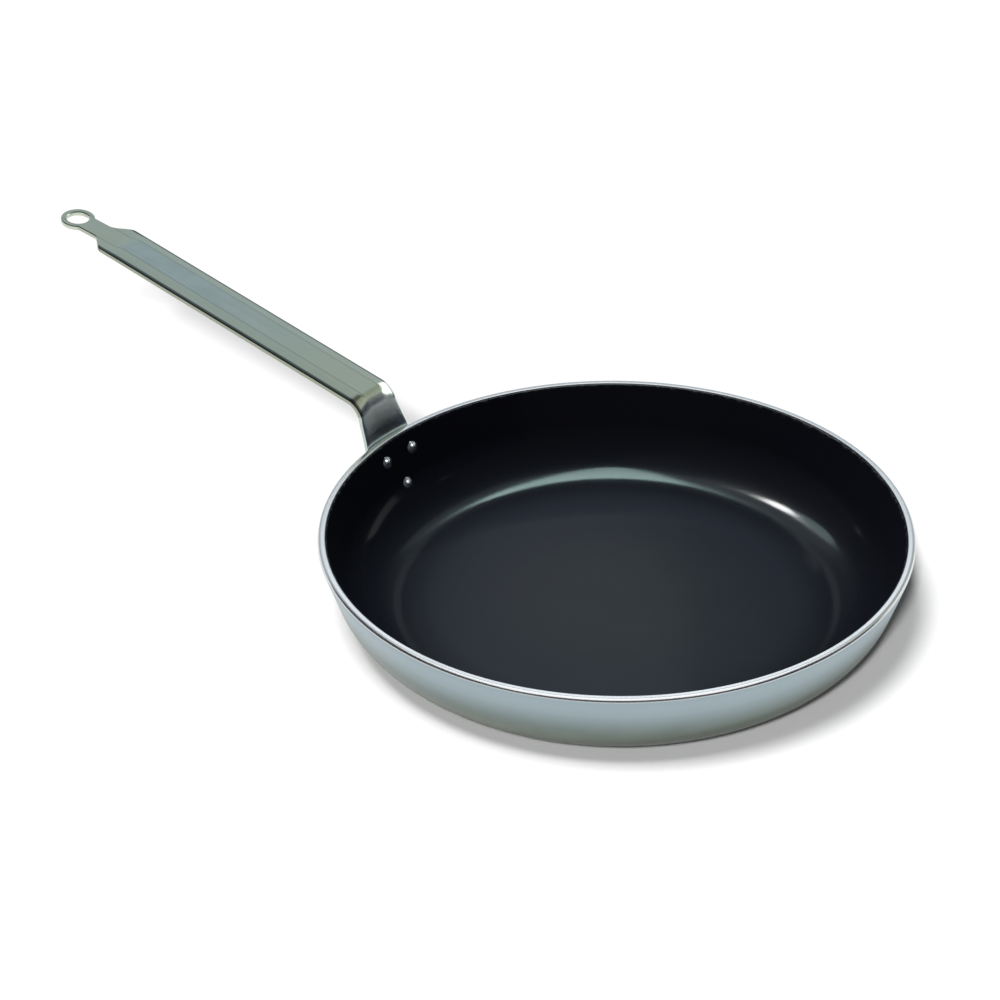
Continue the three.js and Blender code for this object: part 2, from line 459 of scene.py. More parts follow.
def spin_profile(bm, segments):
    """Turns the drawn profile once round the Z axis and closes it."""
    bmesh.ops.spin(
        bm,
        geom=bm.verts[:] + bm.edges[:],
        cent=(0, 0, 0),
        axis=(0, 0, 1),
        angle=math.tau,
        steps=segments,
        use_merge=True,
    )
    bmesh.ops.remove_doubles(bm, verts=bm.verts, dist=0.001 * MM)
    bmesh.ops.recalc_face_normals(bm, faces=bm.faces)


def finish_piece(bm, name, material, nodes):
    """Makes a smooth-shaded object of a finished mesh, on the pan's body, in place of its CAD nodes."""
    for face in bm.faces:
        face.smooth = True
    mesh = bpy.data.meshes.new(name)
    bm.to_mesh(mesh)
    bm.free()
    mesh.materials.append(material)
    piece = bpy.data.objects.new(name, mesh)
    bpy.context.scene.collection.objects.link(piece)
    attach(piece, "root")
    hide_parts(*nodes)


class Finish:
    """A principled material, with short calls that add nodes to it."""

    def __init__(self, name, **values):
        self.material = bpy.data.materials.new(name)
        self.material.use_nodes = True
        self.tree = self.material.node_tree
        self.shader = self.tree.nodes["Principled BSDF"]
        for socket, value in values.items():
            self.shader.inputs[socket.replace("_", " ")].default_value = value

    def node(self, kind, *sources, **choices):
        """Adds a node. Sources feed its inputs in order, as sockets or plain values."""
        made = self.tree.nodes.new(kind)
        for name, value in choices.items():
            setattr(made, name, value)
        for socket, source in zip(made.inputs, sources):
            self.feed(socket, source)
        return made

    def feed(self, socket, source):
        """Links a socket to a source, or sets its value."""
        if isinstance(source, bpy.types.NodeSocket):
            self.tree.links.new(source, socket)
        elif source is not None:
            socket.default_value = source

    def sum(self, operation, *sources):
        """One step of arithmetic."""
        return self.node("ShaderNodeMath", *sources, operation=operation).outputs[0]

    def ramp(self, source, low, high, to_low=0.0, to_high=1.0):
        """Eases a value from one range to another."""
        node = self.node("ShaderNodeMapRange", interpolation_type="SMOOTHSTEP")
        for name, value in (
            ("Value", source),
            ("From Min", low),
            ("From Max", high),
            ("To Min", to_low),
            ("To Max", to_high),
        ):
            self.feed(node.inputs[name], value)
        return node.outputs["Result"]

    def noise(self, vector, scale, detail=2.0, roughness=0.5):
        """Soft noise of a given number of grains to the metre."""
        node = self.node("ShaderNodeTexNoise")
        self.feed(node.inputs["Vector"], vector)
        node.inputs["Scale"].default_value = scale
        node.inputs["Detail"].default_value = detail
        node.inputs["Roughness"].default_value = roughness
        return node.outputs["Fac"]

    def mix(self, share, first, second):
        """Blends two colours."""
        node = self.node("ShaderNodeMix", data_type="RGBA")
        for socket, source in ((0, share), (6, first), (7, second)):
            self.feed(node.inputs[socket], source)
        return node.outputs[2]

    def scaled(self, vector, scale):
        """Stretches coordinates along each axis."""
        return self.node("ShaderNodeVectorMath", vector, scale, operation="MULTIPLY").outputs[0]

    def place(self):
        """Object coordinates, the radius from the pan's axis and the height."""
        point = self.node("ShaderNodeTexCoord").outputs["Object"]
        parts = self.node("ShaderNodeSeparateXYZ", point).outputs
        flat = self.node("ShaderNodeCombineXYZ", parts["X"], parts["Y"], 0.0).outputs[0]
        radius = self.node("ShaderNodeVectorMath", flat, operation="LENGTH").outputs["Value"]
        return point, radius, parts["Z"]

    def bump(self, height, strength, distance):
        """Raises the surface by a pattern."""
        node = self.node("ShaderNodeBump")
        node.inputs["Strength"].default_value = strength
        node.inputs["Distance"].default_value = distance
        self.feed(node.inputs["Height"], height)
        self.feed(self.shader.inputs["Normal"], node.outputs[0])

    def colour(self, source):
        """Feeds the base colour."""
        self.feed(self.shader.inputs["Base Color"], source)

    def rough(self, source):
        """Feeds the roughness."""
        self.feed(self.shader.inputs["Roughness"], source)


def rgba(colour, level=1.0):
    """A setting's colour with its alpha, made lighter or darker."""
    return (*(part * level for part in colour), 1.0)


def spun_aluminium(bowl, finishes):
    """Satin aluminium with turning rings, bright at the rim, with painted shade low down where the wall
    mirrors the shadowed floor, scuffed where it stands.
    """
    tread_radius, tread_width = 116 * MM, 6 * MM
    shade_start_height, shade_full_height = 45 * MM, 17 * MM
    metal = Finish("spun_aluminium", Metallic=1.0, Anisotropic=0.35)
    point, radius, height = metal.place()
    tangent = metal.node("ShaderNodeTangent", direction_type="RADIAL", axis="Z").outputs[0]
    metal.feed(metal.shader.inputs["Tangent"], tangent)
    ring_place = metal.node("ShaderNodeCombineXYZ", radius, 0.0, height).outputs[0]
    rings = metal.noise(ring_place, 2200, 3.0)
    bands = metal.noise(ring_place, 160, 2.0)
    clouds = metal.noise(point, 24, 4.0, 0.6)
    rim = metal.ramp(height, bowl.height - 2.2 * MM, bowl.height - 0.9 * MM)
    under = metal.ramp(height, 1.2 * MM, 0.2 * MM)
    from_tread = metal.sum("ABSOLUTE", metal.sum("SUBTRACT", radius, tread_radius))
    tread = metal.ramp(from_tread, tread_width, 0.0)
    scuff = metal.sum("MULTIPLY", metal.sum("MULTIPLY", under, tread), metal.noise(point, 420, 3.0))
    body = metal.mix(clouds, rgba(finishes.aluminium, 0.93), rgba(finishes.aluminium, 1.06))
    body = metal.mix(metal.ramp(bands, 0.3, 0.7, 0.0, 0.35), body, rgba(finishes.aluminium, 0.88))
    # Painted shade: the wall grows darker towards the base, for the shadowed floor that it mirrors.
    low_shade = metal.mix(
        metal.ramp(clouds, 0.3, 0.7),
        rgba(finishes.low_shade_aluminium, 0.85),
        rgba(finishes.low_shade_aluminium, 1.2),
    )
    body = metal.mix(metal.ramp(height, shade_start_height, shade_full_height), body, low_shade)
    body = metal.mix(metal.sum("MULTIPLY", scuff, 0.8), body, rgba(finishes.aluminium, 0.8))
    metal.colour(metal.mix(rim, body, rgba(finishes.rim)))
    satin = metal.ramp(rings, 0.3, 0.7, 0.3, 0.38)
    satin = metal.sum("ADD", satin, metal.ramp(clouds, 0.4, 0.8, 0.0, 0.06))
    satin = metal.sum("ADD", satin, metal.sum("MULTIPLY", scuff, 0.3))
    metal.rough(metal.sum("SUBTRACT", satin, metal.sum("MULTIPLY", rim, 0.14)))
    metal.bump(rings, 0.12, 0.04 * MM)
    return metal.material


def release_coating(bowl, finishes):
    """Dark semi-gloss coating with a fine grain, rubbed in patches on the cooking floor and along its upper
    edge, with painted light on the cooking floor.
    """
    light_start_radius, light_full_radius = 120 * MM, 92 * MM
    wear_and_light_start, wear_and_light_full = 105 * MM, 20 * MM
    coat = Finish("release_coating", IOR=1.2, Coat_Weight=0.12, Coat_Roughness=0.4, Coat_IOR=1.3)
    point, radius, height = coat.place()
    grain = coat.noise(point, 1500, 2.0)
    patches = coat.noise(point, 30, 4.0, 0.6)
    ring_place = coat.node("ShaderNodeCombineXYZ", radius, 0.0, height).outputs[0]
    swirls = coat.noise(ring_place, 500, 2.0)
    # Painted light: the cooking floor is lighter than the walls, out to the corner below its highlight.
    painted_floor_light = coat.ramp(radius, light_start_radius, light_full_radius)
    # Wear in patches and painted light together: the middle of the floor is lighter still.
    wear_and_light = coat.ramp(radius, wear_and_light_start, wear_and_light_full)
    wear_and_light = coat.sum("MULTIPLY", wear_and_light, coat.ramp(patches, 0.2, 0.8, 0.7, 1.0))
    edge = coat.ramp(height, bowl.height - 2.6 * MM, bowl.height - 1.2 * MM)
    rubbed = coat.sum("MULTIPLY", edge, coat.ramp(coat.noise(point, 260, 3.0), 0.45, 0.7))
    tone = coat.mix(painted_floor_light, rgba(finishes.coating), rgba(finishes.coating, 2.4))
    tone = coat.mix(wear_and_light, tone, rgba(finishes.worn_and_lit_coating))
    coat.colour(coat.mix(rubbed, tone, rgba(finishes.worn_and_lit_coating, 2.0)))
    gloss = coat.ramp(patches, 0.3, 0.7, 0.1, 0.13)
    coat.rough(coat.sum("ADD", gloss, coat.ramp(swirls, 0.3, 0.7, 0.0, 0.02)))
    coat.bump(grain, 0.12, 0.06 * MM)
    return coat.material


def strip_steel(handle, line, finishes):
    """Rolled steel brushed along the strip, with a painted olive reflection near the pan, beside the crown
    and on the neck, and painted shade along its rounded edges and creases.
    """
    half_width, half_crown = handle.width / 2, handle.crown_width / 2
    tint_length = 140 * MM
    steel = Finish("strip_steel", Metallic=1.0)
    place = steel.node("ShaderNodeUVMap", uv_map="strip").outputs[0]
    parts = steel.node("ShaderNodeSeparateXYZ", place).outputs
    brushing = steel.noise(steel.scaled(place, (40.0, 3600.0, 1.0)), 1.0, 3.0)
    streaks = steel.noise(steel.scaled(place, (9.0, 420.0, 1.0)), 1.0, 3.0)
    clouds = steel.noise(place, 55, 4.0, 0.6)
    near_pan = steel.ramp(parts["X"], line.grip + tint_length, line.grip)
    on_grip = steel.ramp(parts["X"], line.bend, line.grip)
    past_foot = steel.ramp(parts["X"], line.bend, line.bend + 1.5 * MM)
    crown_fades = line.shoulder - handle.crown_end
    neck = steel.ramp(parts["X"], crown_fades, line.shoulder - handle.crown_end / 4, 0.0, 0.8)
    aside = steel.sum("ABSOLUTE", parts["Y"])
    flank = steel.ramp(aside, half_crown - 0.6 * MM, half_crown + 0.6 * MM, 0.0, 0.7)
    # Painted shade: a dark line along each crease of the crown, over the grip.
    from_crease = steel.sum("ABSOLUTE", steel.sum("SUBTRACT", aside, half_crown))
    crease = steel.sum("MULTIPLY", steel.ramp(from_crease, 0.7 * MM, 0.2 * MM, 0.0, 0.35), on_grip)
    # Painted shade: a dark band on each rounded edge of the strip, past the foot, for the dark that the
    # rounding mirrors.
    rounded = steel.ramp(aside, half_width - 2.4 * MM, half_width - 1.4 * MM)
    outermost = steel.ramp(aside, half_width - 0.1 * MM, half_width - 0.02 * MM)
    edge = steel.sum("MULTIPLY", steel.sum("SUBTRACT", rounded, outermost), past_foot)
    cut = steel.sum("MULTIPLY", outermost, past_foot)
    tone = steel.mix(steel.ramp(clouds, 0.3, 0.7), rgba(finishes.steel, 0.95), rgba(finishes.steel, 1.06))
    # Painted reflection: the olive tint near the pan, on the flanks and on the neck, from the bend on.
    olive_reflection = steel.sum("MAXIMUM", steel.sum("MAXIMUM", near_pan, flank), neck)
    olive_reflection = steel.sum("MULTIPLY", olive_reflection, on_grip)
    tone = steel.mix(olive_reflection, tone, rgba(finishes.olive_reflection_steel))
    tone = steel.mix(crease, tone, rgba(finishes.steel, 0.4))
    tone = steel.mix(steel.ramp(streaks, 0.45, 0.8, 0.0, 0.3), tone, rgba(finishes.steel, 0.82))
    tone = steel.mix(cut, tone, rgba(finishes.olive_reflection_steel, 0.6))
    steel.colour(steel.mix(edge, tone, rgba(finishes.steel, 0.25)))
    satin = steel.ramp(brushing, 0.3, 0.7, 0.18, 0.24)
    steel.rough(steel.sum("ADD", satin, steel.ramp(clouds, 0.4, 0.8, 0.0, 0.06)))
    steel.bump(brushing, 0.1, 0.03 * MM)
    return steel.material


def rivet_aluminium(finishes):
    """Bare rivet heads with small hammer marks and a dull skin."""
    metal = Finish("rivet_aluminium", Metallic=1.0)
    point = metal.place()[0]
    marks = metal.noise(point, 700, 2.0)
    clouds = metal.noise(point, 300, 3.0)
    metal.colour(metal.mix(clouds, rgba(finishes.rivet, 0.85), rgba(finishes.rivet, 1.1)))
    metal.rough(metal.ramp(clouds, 0.3, 0.7, 0.22, 0.32))
    metal.bump(marks, 0.2, 0.1 * MM)
    return metal.material


class PAN_OT_bowl(bpy.types.Operator):
    """Spin the pressed bowl with its rounded rim"""

    bl_idname = "pan.bowl"
    bl_label = "Bowl"

    def execute(self, context):
        bowl, _, finishes, _ = settings()
        flat, centre_height, _ = bowl_section(bowl)
        centre = (flat, 0, centre_height)
        sweep = math.pi / 2 - bowl.lean
        bm = bmesh.new()
        vert = bm.verts.new((0, 0, 0))
        vert = line_to(bm, vert, (flat, 0, 0))
        vert = arc_to(bm, vert, centre, sweep, CORNER_STEPS)
        edge_centre = Vector((bowl.rim_radius - bowl.outer_edge, 0, bowl.height - bowl.outer_edge))
        out = Vector((math.cos(bowl.lean), 0, -math.sin(bowl.lean)))
        vert = line_to(bm, vert, edge_centre + out * bowl.outer_edge)
        vert = arc_to(bm, vert, edge_centre, math.pi / 2 + bowl.lean, RIM_STEPS)
        inner_rim = wall_frame(bowl, 0)[0]
        inner_reach = bowl.inner_edge / math.tan(math.pi / 4 + bowl.lean / 2)
        inner_centre = Vector((inner_rim.x + inner_reach, 0, bowl.height - bowl.inner_edge))
        vert = line_to(bm, vert, (inner_centre.x, 0, bowl.height), margin=0.3 * MM)
        vert = arc_to(bm, vert, inner_centre, sweep, LIP_STEPS)
        vert = line_to(bm, vert, Vector(centre) + out * bowl.corner)
        vert = arc_to(bm, vert, centre, -sweep, CORNER_STEPS)
        line_to(bm, vert, (0, 0, bowl.sheet))
        spin_profile(bm, bowl.segments)
        finish_piece(bm, "bowl", spun_aluminium(bowl, finishes), ["pan_body"])
        return {"FINISHED"}


class PAN_OT_coating(bpy.types.Operator):
    """Spin the coating's skin over the inside of the bowl"""

    bl_idname = "pan.coating"
    bl_label = "Coating"

    def execute(self, context):
        bowl, _, finishes, _ = settings()
        flat, centre_height, _ = bowl_section(bowl)
        centre = (flat, 0, centre_height)
        sweep = math.pi / 2 - bowl.lean
        back = bowl.corner - bowl.coating_gap
        face = back - bowl.coating
        edge, _, out = wall_frame(bowl, bowl.bare_depth)
        half = bowl.coating / 2
        upward = Vector((math.sin(bowl.lean), 0, math.cos(bowl.lean)))
        edge_centre = edge - out * (bowl.coating_gap + half) - upward * half
        bm = bmesh.new()
        vert = bm.verts.new((0, 0, centre_height - back))
        vert = line_to(bm, vert, (flat, 0, centre_height - back))
        vert = arc_to(bm, vert, centre, sweep, CORNER_STEPS)
        vert = line_to(bm, vert, edge_centre + out * half)
        vert = arc_to(bm, vert, edge_centre, math.pi, LIP_STEPS)
        vert = line_to(bm, vert, Vector(centre) + out * face)
        vert = arc_to(bm, vert, centre, -sweep, FACE_STEPS)
        line_to(bm, vert, (0, 0, centre_height - face))
        spin_profile(bm, bowl.segments)
        finish_piece(bm, "coating", release_coating(bowl, finishes), ["release_coating"])
        return {"FINISHED"}


def foot_length_to(bowl, handle, depth):
    """Length along the foot from the rim's level down to a depth on the wall."""
    wall = bowl_section(bowl)[2]
    past = max(0, depth - wall)
    return depth - past + past * (bowl.corner + bowl.sheet + handle.seat_gap) / bowl.corner


class HandleLine:
    """The line that the strip's seating face follows, from the foot's tip to the tip of the eye."""

    def __init__(self, bowl, handle):
        seat = bowl.sheet + handle.seat_gap
        seat_corner = bowl.corner + seat
        wall = bowl_section(bowl)[2]
        turn = math.pi / 2 - bowl.lean - handle.grip_rise
        rise = handle.corner_rise / math.cos(bowl.lean) - handle.bend_radius * math.tan(turn / 2)
        self.foot = foot_length_to(bowl, handle, handle.lower_depth) + handle.lower_margin
        corner = max(0, self.foot - wall)
        tip, lean, outward = wall_frame(bowl, self.foot - corner * (1 - bowl.corner / seat_corner))
        self.start = tip + outward * seat
        self.heading = math.pi / 2 - lean
        self.upper_rivets = self.foot - foot_length_to(bowl, handle, handle.upper_depth)
        self.bend = self.foot + rise
        self.grip = self.bend + handle.bend_radius * turn
        self.shoulder = self.grip + handle.grip_length
        self.neck = self.shoulder + handle.shoulder
        self.eye = self.neck + handle.neck_length
        self.runs = (
            (corner, corner / seat_corner),
            (self.bend - corner, 0),
            (self.grip - self.bend, -turn),
            (handle.grip_length, 0),
            (handle.shoulder, -handle.neck_droop),
            (handle.neck_length + handle.eye, 0),
        )

    def at(self, station):
        """Radius, height and heading at a distance along the line."""
        x, z, heading, left = self.start.x, self.start.z, self.heading, station
        for length, turn in self.runs:
            step = min(left, length)
            if step <= 0:
                break
            part = turn * step / length
            chord = step if part == 0 else step * math.sin(part / 2) / (part / 2)
            x += chord * math.cos(heading + part / 2)
            z += chord * math.sin(heading + part / 2)
            heading += part
            left -= step
        return x, z, heading


def ease(value, low, high):
    """Smooth step from 0 at low to 1 at high."""
    share = min(1, max(0, (value - low) / (high - low)))
    return share * share * (3 - 2 * share)


def tangent_angle(centre, radius, other, other_radius):
    """Angle at which the outer tangent of two circles leaves both, above the line between them."""
    across = Vector(other) - Vector(centre)
    return math.atan2(across.y, across.x) + math.acos((radius - other_radius) / across.length)


class StripOutline:
    """Half width of the flat strip at each station: a foot drawn round its rivets, the grip and the neck."""

    def __init__(self, line, handle):
        self.line, self.handle = line, handle
        self.lobe = (line.upper_rivets, handle.spacing / 2)
        tip = (handle.lower_margin, 0)
        bend = (line.bend, handle.width / 2)
        self.tip_angle = tangent_angle(tip, handle.lower_margin, self.lobe, handle.upper_margin)
        self.bend_angle = tangent_angle(self.lobe, handle.upper_margin, bend, 0)
        self.leaves_tip = tip[0] + handle.lower_margin * math.cos(self.tip_angle)
        self.meets_lobe = self.lobe[0] + handle.upper_margin * math.cos(self.tip_angle)
        self.leaves_lobe = self.lobe[0] + handle.upper_margin * math.cos(self.bend_angle)

    def lobe_width(self, station):
        """Half width on the round part beside an upper rivet."""
        along = station - self.lobe[0]
        return self.lobe[1] + math.sqrt(max(0, self.handle.upper_margin**2 - along**2))

    def half_width(self, station):
        """Half width of the strip."""
        line, handle = self.line, self.handle
        if station < self.meets_lobe:
            tip_width = handle.lower_margin * math.sin(self.tip_angle)
            share = (station - self.leaves_tip) / (self.meets_lobe - self.leaves_tip)
            return tip_width + share * (self.lobe_width(self.meets_lobe) - tip_width)
        if station < self.leaves_lobe:
            return self.lobe_width(station)
        if station < line.bend:
            share = (station - self.leaves_lobe) / (line.bend - self.leaves_lobe)
            side = self.lobe_width(self.leaves_lobe)
            return side + share * (handle.width / 2 - side)
        narrowed = ease(station, line.shoulder, line.neck)
        return handle.width / 2 + narrowed * (handle.neck_width - handle.width) / 2

    def rows(self):
        """Stations of the strip's cross rows, closer together where it curves."""
        line, handle = self.line, self.handle
        stops = (
            (self.leaves_tip, 3),
            (self.meets_lobe, 10),
            (self.leaves_lobe, 6),
            (line.bend, 24),
            (line.grip, 16),
            (line.shoulder - handle.crown_end, 8),
            (line.shoulder, 14),
            (line.neck, 3),
            (line.eye - handle.eye / 2 - 2 * MM, 0),
        )
        found = []
        for (start, steps), (end, _) in zip(stops, stops[1:]):
            found += [start + (end - start) * step / steps for step in range(steps)]
        return found + [stops[-1][0]]


def crown_lift(line, handle, station, offset):
    """How far the strip is pressed up."""
    start = ease(station, line.bend, line.bend + handle.crown_end)
    end = 1 - ease(station, line.shoulder - handle.crown_end, line.shoulder)
    flank = (handle.width / 2 - abs(offset)) / (handle.width - handle.crown_width) * 2
    return handle.crown_height * start * end * min(1, max(0, flank))


def flat_strip(bm, outline, handle):
    """Lays out the strip flat, seating face up, from its round tip to the neck, and returns its last row."""
    # Columns from the edge to the middle, as shares of the half width, one of them on the crease.
    crease = handle.crown_width / handle.width
    side = (1, 0.8, (1 + 3 * crease) / 4, crease, 0.8 * crease, 0.4 * crease)
    columns = [-share for share in side] + [0] + list(reversed(side))
    rows = outline.rows()
    width = outline.half_width(rows[0])
    row = [bm.verts.new((rows[0], share * width, 0)) for share in columns]
    edges = [bm.edges.new(pair) for pair in zip(row, row[1:])]
    tip = bmesh.ops.extrude_edge_only(bm, edges=edges)["geom"]
    for vert in (part for part in tip if isinstance(part, bmesh.types.BMVert)):
        inset = math.sqrt(max(0, handle.lower_margin**2 - vert.co.y**2))
        vert.co.x = handle.lower_margin - inset
    for station, last in zip(rows[1:], rows):
        drawn = bmesh.ops.extrude_edge_only(bm, edges=edges)["geom"]
        edges = [part for part in drawn if isinstance(part, bmesh.types.BMEdge)]
        verts = [part for part in drawn if isinstance(part, bmesh.types.BMVert)]
        spread = outline.half_width(station) / outline.half_width(last)
        bmesh.ops.scale(bm, verts=verts, vec=(1, spread, 1))
        bmesh.ops.translate(bm, verts=verts, vec=(station - last, 0, 0))
    return edges


def add_eye(bm, line, handle, neck):
    """Spins the eye's ring, whose steps face the columns of the neck's last row, and joins it to that row."""
    near = 0.01 * MM
    joint = len(neck)
    half_angle = math.asin(handle.neck_width / handle.eye)
    steps = round(math.tau / (2 * half_angle / joint))
    first = math.pi - joint / 2 * math.tau / steps
    spoke = [
        bm.verts.new((line.eye + reach * math.cos(first), reach * math.sin(first), 0))
        for reach in (handle.eye_hole / 2, (handle.eye_hole + handle.eye) / 4, handle.eye / 2)
    ]
    spoke_edges = [bm.edges.new(pair) for pair in zip(spoke, spoke[1:])]
    bmesh.ops.spin(
        bm,
        geom=spoke + spoke_edges,
        cent=(line.eye, 0, 0),
        axis=(0, 0, 1),
        angle=math.tau,
        steps=steps,
        use_merge=True,
    )
    bmesh.ops.remove_doubles(bm, verts=bm.verts, dist=near)
    middle = Vector((line.eye, 0))
    joint_end = line.eye - handle.eye / 2 * math.cos(half_angle) + 0.2 * MM
    outer = [
        edge
        for edge in bm.edges
        if edge.is_boundary
        and all(
            abs((vert.co.xy - middle).length - handle.eye / 2) < near and vert.co.x < joint_end
            for vert in edge.verts
        )
    ]
    bmesh.ops.bridge_loops(bm, edges=[edge for edge in neck if edge.is_valid] + outer)


def thicken_strip(bm, handle):
    """Gives the flat strip its thickness and rounds its cut edges."""
    bmesh.ops.recalc_face_normals(bm, faces=bm.faces)
    thick = bmesh.ops.extrude_face_region(bm, geom=bm.faces[:], use_keep_orig=True)["geom"]
    lower = [part for part in thick if isinstance(part, bmesh.types.BMVert)]
    bmesh.ops.translate(bm, verts=lower, vec=(0, 0, -handle.thickness))
    bmesh.ops.recalc_face_normals(bm, faces=bm.faces)
    sharp = [edge for edge in bm.edges if edge.calc_face_angle(0) > math.radians(60)]
    bmesh.ops.bevel(
        bm,
        geom=sharp,
        offset=handle.edge_radius,
        offset_type="OFFSET",
        segments=4,
        profile=0.5,
        affect="EDGES",
        material=-1,
        clamp_overlap=True,
    )


def bend_strip(bm, line, handle):
    """Keeps each point's place on the flat strip as a UV map, presses the crown and bends the strip."""
    flat_place = bm.loops.layers.uv.new("strip")
    for face in bm.faces:
        for loop in face.loops:
            loop[flat_place].uv = loop.vert.co.xy
    for vert in bm.verts:
        station, offset, depth = vert.co
        x, z, heading = line.at(station)
        lift = depth + crown_lift(line, handle, station, offset)
        radius = x - lift * math.sin(heading)
        curved = 1 - ease(station, line.foot, line.bend)
        radius += curved * (math.sqrt(radius * radius - offset * offset) - radius)
        vert.co = (radius, offset, z + lift * math.cos(heading))
    bmesh.ops.recalc_face_normals(bm, faces=bm.faces)


class PAN_OT_handle(bpy.types.Operator):
    """Lay out the strip flat, round its edges, press its crown and bend it to the pan"""

    bl_idname = "pan.handle"
    bl_label = "Handle"

    def execute(self, context):
        bowl, handle, finishes, _ = settings()
        line = HandleLine(bowl, handle)
        outline = StripOutline(line, handle)
        bm = bmesh.new()
        neck = flat_strip(bm, outline, handle)
        add_eye(bm, line, handle, neck)
        thicken_strip(bm, handle)
        bend_strip(bm, line, handle)
        finish_piece(bm, "strip_handle", strip_steel(handle, line, finishes), ["handle"])
        return {"FINISHED"}


class PAN_OT_rivets(bpy.types.Operator):
    """Spin the three rivets and set them through the wall and the foot"""

    bl_idname = "pan.rivets"
    bl_label = "Rivets"

    def execute(self, context):
        bowl, handle, finishes, _ = settings()
        material = rivet_aluminium(finishes)
        skin = bowl.coating + bowl.coating_gap
        seat = bowl.sheet + handle.seat_gap
        places = (
            ("rivet_upper_left", handle.upper_depth, handle.spacing / 2),
            ("rivet_upper_right", handle.upper_depth, -handle.spacing / 2),
            ("rivet_lower", handle.lower_depth, 0),
        )
        radius = handle.head / 2
        dome = (radius**2 + handle.head_height**2) / (2 * handle.head_height)
        spread = math.asin(radius / dome)
        sink = 0.3 * MM
        inner, outer = -skin, seat + handle.thickness
        for name, depth, offset in places:
            bm = bmesh.new()
            vert = bm.verts.new((0, 0, inner - handle.head_height))
            vert = arc_to(bm, vert, (0, 0, inner - handle.head_height + dome), spread, HEAD_STEPS)
            for reach, level in (
                (radius, inner + sink),
                (handle.shank / 2, inner + sink),
                (handle.shank / 2, outer - sink),
                (radius, outer - sink),
                (radius, outer),
            ):
                vert = line_to(bm, vert, (reach, 0, level), margin=0.1 * MM)
            arc_to(bm, vert, (0, 0, outer + handle.head_height - dome), spread, HEAD_STEPS)
            spin_profile(bm, RIVET_SEGMENTS)
            point, _, outward = wall_frame(bowl, depth)
            turn = Matrix.Rotation(math.asin(offset / (point.x + seat * outward.x)), 4, "Z")
            stand = outward.to_track_quat("Z", "Y").to_matrix().to_4x4()
            bmesh.ops.transform(bm, matrix=turn @ Matrix.Translation(point) @ stand, verts=bm.verts)
            finish_piece(bm, "set_" + name, material, [name])
        return {"FINISHED"}


def view_axes(stage):
    """The camera's level right, the level way ahead and the way back to the camera."""
    right = Vector((math.cos(stage.azimuth), math.sin(stage.azimuth), 0))
    ahead = Vector((-math.sin(stage.azimuth), math.cos(stage.azimuth), 0))
    back = Vector((0, 0, math.sin(stage.elevation))) - ahead * math.cos(stage.elevation)
    return right, ahead, back


def studio_point(stage, place):
    """The point at a place right of, ahead of and above the pan, as the camera sees it."""
    right, ahead, _ = view_axes(stage)
    return right * place[0] + ahead * place[1] + Vector((0, 0, place[2]))


def even_light(name, stage, place, strength, spread):
    """A soft light from far off, which no reflection shows."""
    light = bpy.data.lights.new(name, "SUN")
    light.energy = strength
    light.angle = spread
    lamp = bpy.data.objects.new(name, light)
    lamp.rotation_mode = "QUATERNION"
    lamp.rotation_quaternion = (-studio_point(stage, place)).to_track_quat("-Z", "Y")
    lamp.visible_glossy = False
    bpy.context.scene.collection.objects.link(lamp)
    return lamp


def gathered(name, *pieces):
    """A collection of pieces, for a lamp or a card that treats them apart."""
    found = bpy.data.collections.new(name)
    for piece in pieces:
        found.objects.link(bpy.data.objects[piece])
    return found


def soft_box(stage, name, shape, place, size, power, colour, *pieces):
    """A soft box turned to the pan, screened so that it lights a few pieces."""
    light = bpy.data.lights.new(name, "AREA")
    light.shape = shape
    light.size, light.size_y = size
    light.energy = power
    light.color = colour
    lamp = bpy.data.objects.new(name, light)
    lamp.location = studio_point(stage, place)
    lamp.rotation_mode = "QUATERNION"
    lamp.rotation_quaternion = (PAN_MIDDLE - lamp.location).to_track_quat("-Z", "Y")
    lamp.visible_camera = False
    lamp.light_linking.receiver_collection = gathered(name, *pieces)
    bpy.context.scene.collection.objects.link(lamp)


def seen_directly(tree):
    """1 for rays that show what they meet, straight or in a reflection, and 0 for the rest."""
    path = tree.nodes.new("ShaderNodeLightPath")
    total = path.outputs["Is Camera Ray"]
    for name in ("Is Glossy Ray", "Is Transmission Ray"):
        either = tree.nodes.new("ShaderNodeMath")
        either.operation = "MAXIMUM"
        tree.links.new(total, either.inputs[0])
        tree.links.new(path.outputs[name], either.inputs[1])
        total = either.outputs[0]
    return total


def reflector(stage, name, place, size, tone, *pieces):
    """A plain card turned to the pan that shows only in reflections, in all pieces or a few."""
    bm = bmesh.new()
    bmesh.ops.create_grid(bm, x_segments=1, y_segments=1, size=0.5)
    bmesh.ops.scale(bm, verts=bm.verts, vec=(*size, 1))
    location = studio_point(stage, place)
    facing = (PAN_MIDDLE - location).to_track_quat("Z", "Y").to_matrix().to_4x4()
    bmesh.ops.transform(bm, matrix=Matrix.Translation(location) @ facing, verts=bm.verts)
    mesh = bpy.data.meshes.new(name)
    bm.to_mesh(mesh)
    bm.free()
    material = bpy.data.materials.new(name)
    material.use_nodes = True
    tree = material.node_tree
    tree.nodes.clear()
    glow = tree.nodes.new("ShaderNodeEmission")
    glow.inputs["Color"].default_value = rgba(tone)
    out = tree.nodes.new("ShaderNodeOutputMaterial")
    tree.links.new(glow.outputs[0], out.inputs["Surface"])
    mesh.materials.append(material)
    card = bpy.data.objects.new(name, mesh)
    card.visible_camera = False
    card.visible_diffuse = False
    card.visible_shadow = False
    if pieces:
        card.light_linking.receiver_collection = gathered(name, *pieces)
    bpy.context.scene.collection.objects.link(card)


